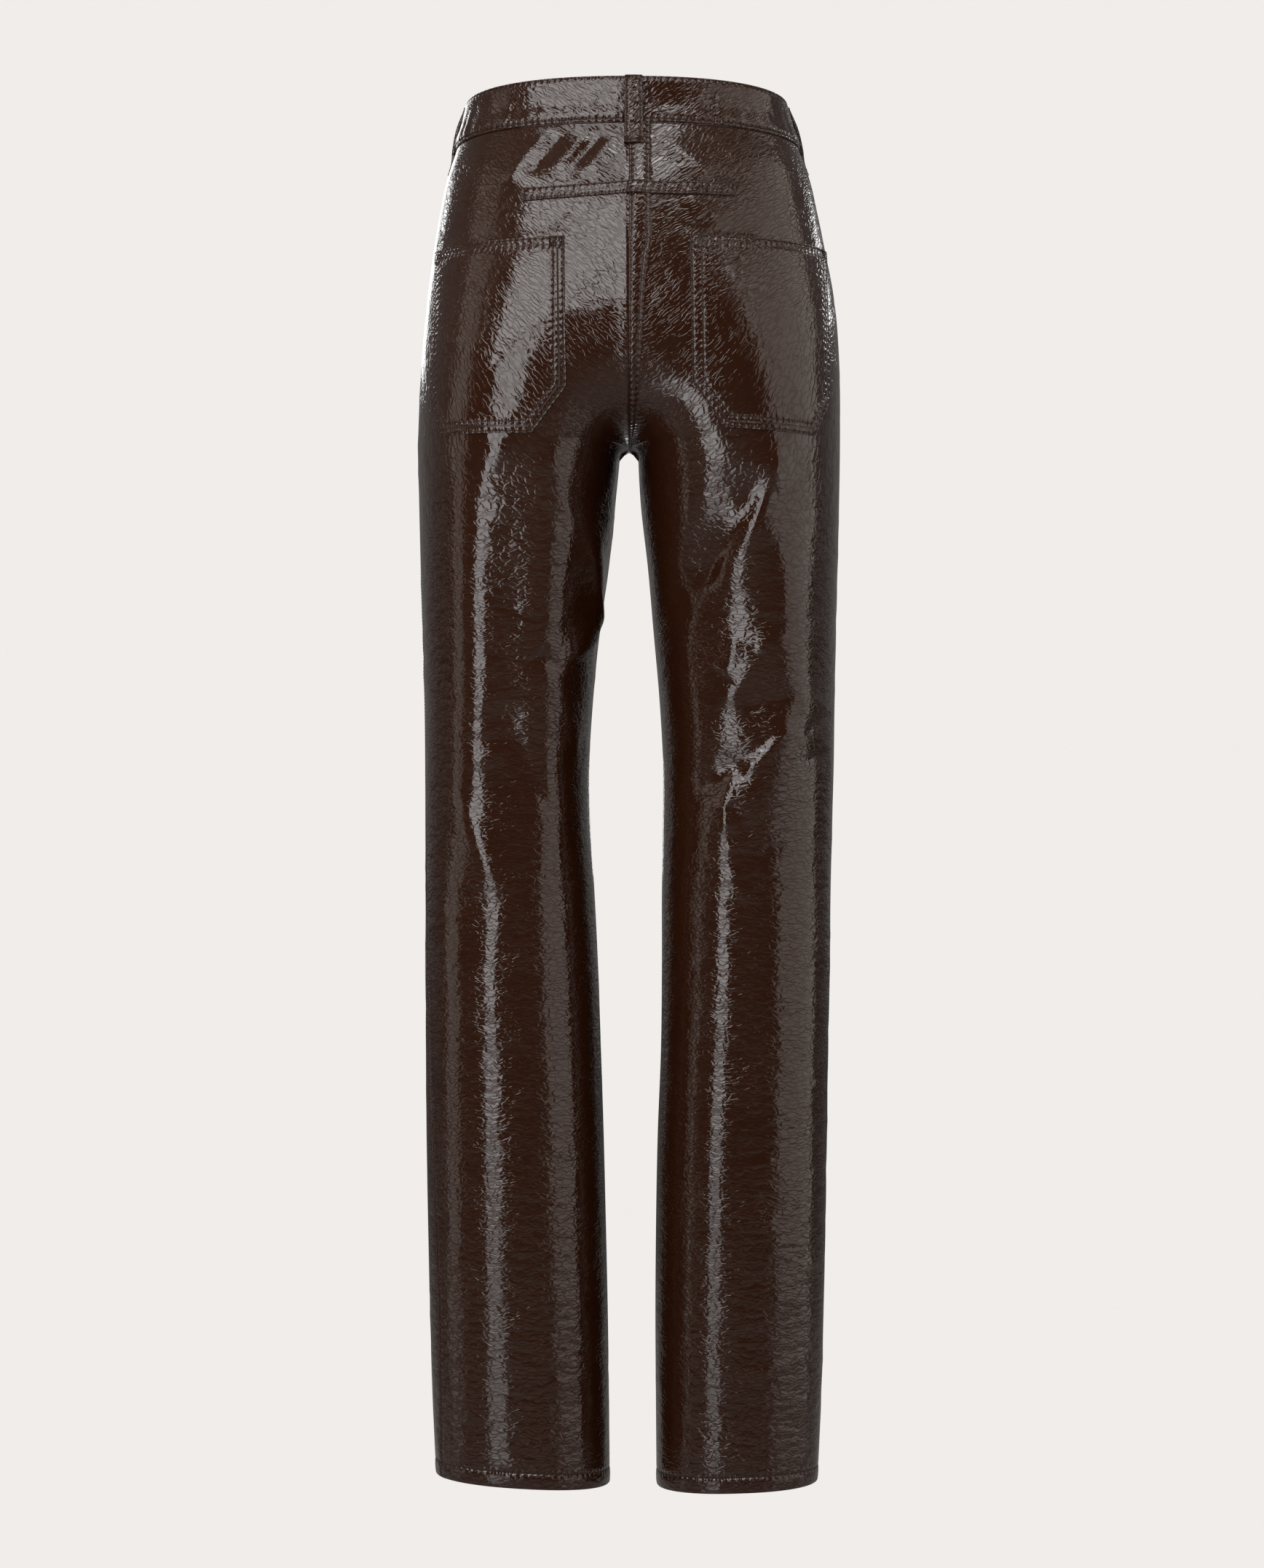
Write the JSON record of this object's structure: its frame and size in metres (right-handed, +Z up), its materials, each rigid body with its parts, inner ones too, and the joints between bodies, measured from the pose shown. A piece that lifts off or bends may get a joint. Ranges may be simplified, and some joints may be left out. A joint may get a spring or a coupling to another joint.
{
  "type": "straight-leg trousers, shown filled out as worn",
  "caption": "Glossy coated straight-leg trousers, hollow and filled out as worn, with a contoured waistband, belt loops, back patch pockets and open hems.",
  "frame": {"origin": "centre of the waist opening, level with the waistband's edge at the sides", "axes": "+Z up out of the waist, +X towards the wearer's left, -Y towards the wearer's front and +Y towards the back"},
  "size_m": [0.3252, 0.2532, 1.0759],
  "materials": {
    "vinyl": "glossy crinkled patent coating, dark brown",
    "button_metal": "dark satin metal"
  },
  "bodies": {
    "root": {"back_left": "vinyl", "back_right": "vinyl", "front_left": "vinyl", "front_right": "vinyl", "pocket_left": "vinyl", "pocket_right": "vinyl", "seat_strip": "vinyl", "fly": "vinyl", "waistband": "vinyl", "belt_loop_back": "vinyl", "belt_loop_left": "vinyl", "belt_loop_right": "vinyl", "belt_loop_front_left": "vinyl", "belt_loop_front_right": "vinyl", "waist_button": "button_metal"}
  },
  "joints": []
}
